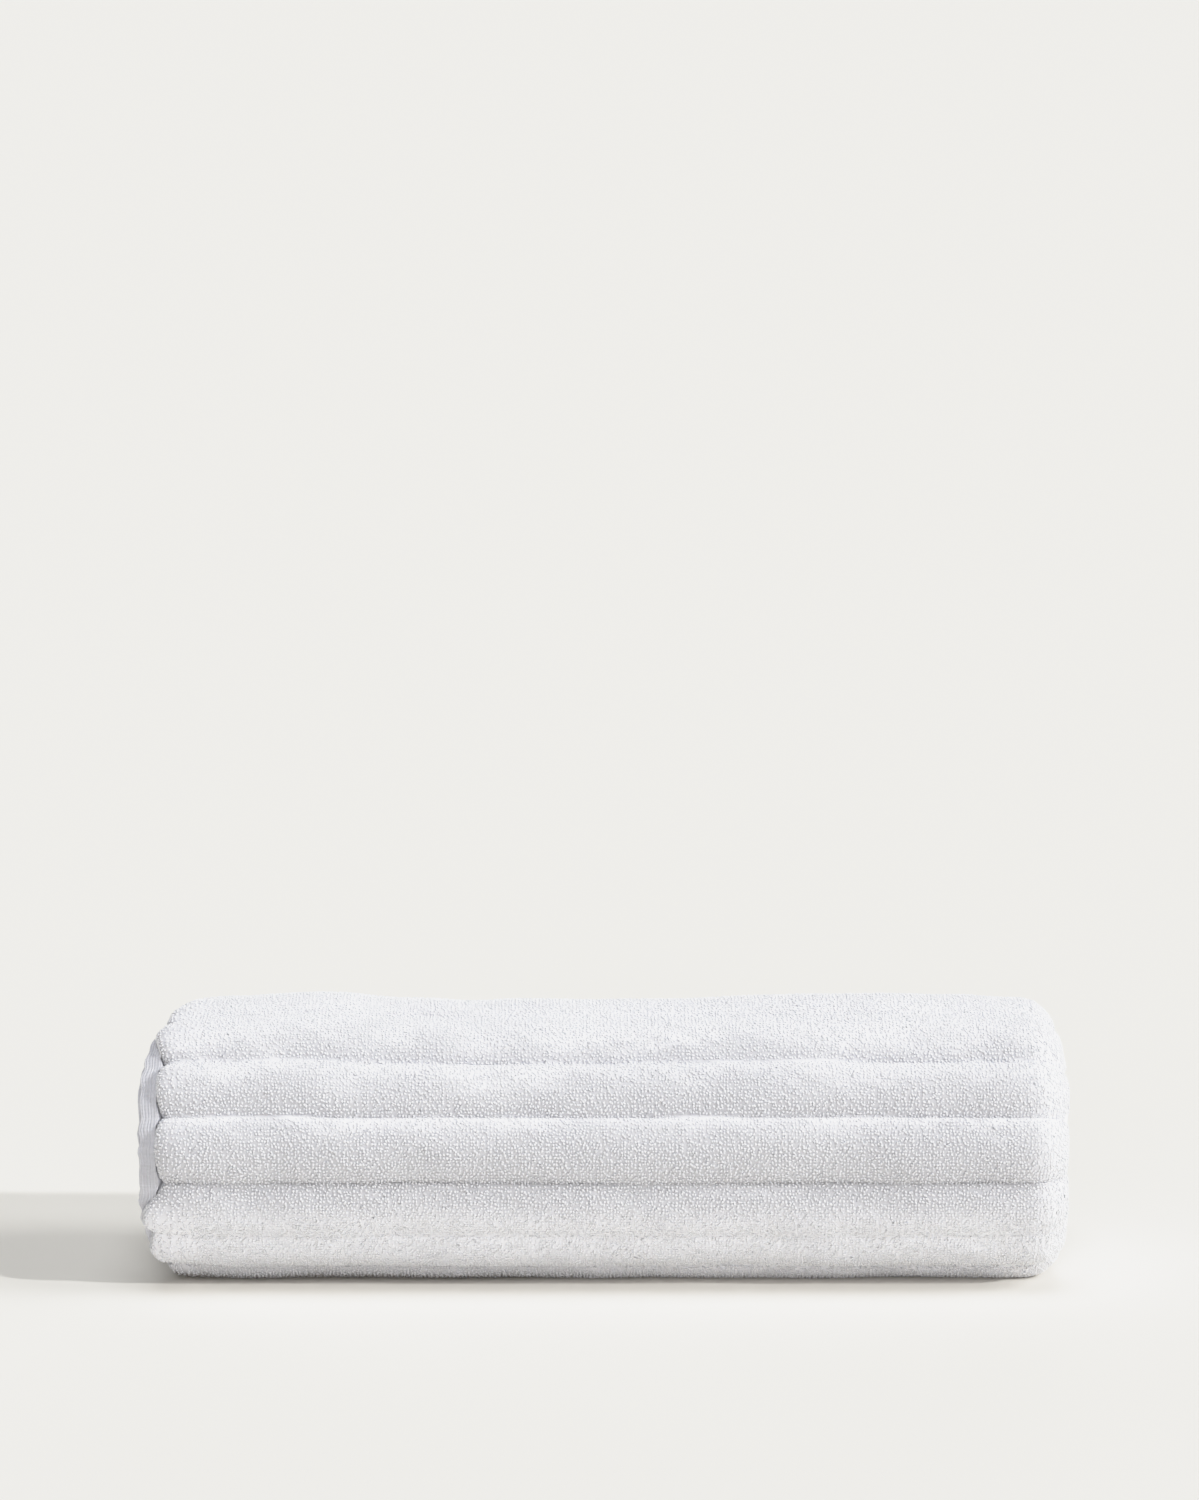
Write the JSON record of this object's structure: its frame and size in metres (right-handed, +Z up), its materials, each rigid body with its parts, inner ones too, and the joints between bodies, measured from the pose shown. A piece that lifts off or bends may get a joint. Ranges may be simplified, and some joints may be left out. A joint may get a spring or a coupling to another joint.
{
  "type": "rolled bath towel",
  "caption": "White ribbed terry bath towel, folded lengthwise and rolled up, lying on its side on a small flat spot.",
  "frame": {"origin": "middle of the roll's bounding box at its lowest level, on the surface that it rests on", "axes": "+X along the roll, from the open side hems to the fold; -Y the front seen in the picture; +Z up"},
  "size_m": [0.3504, 0.109, 0.1054],
  "materials": {
    "white_terry": "soft matt cotton terry, looped pile in wide ribs, with flat-woven hems"
  },
  "bodies": {
    "root": {"towel_roll": "white_terry"}
  },
  "joints": []
}
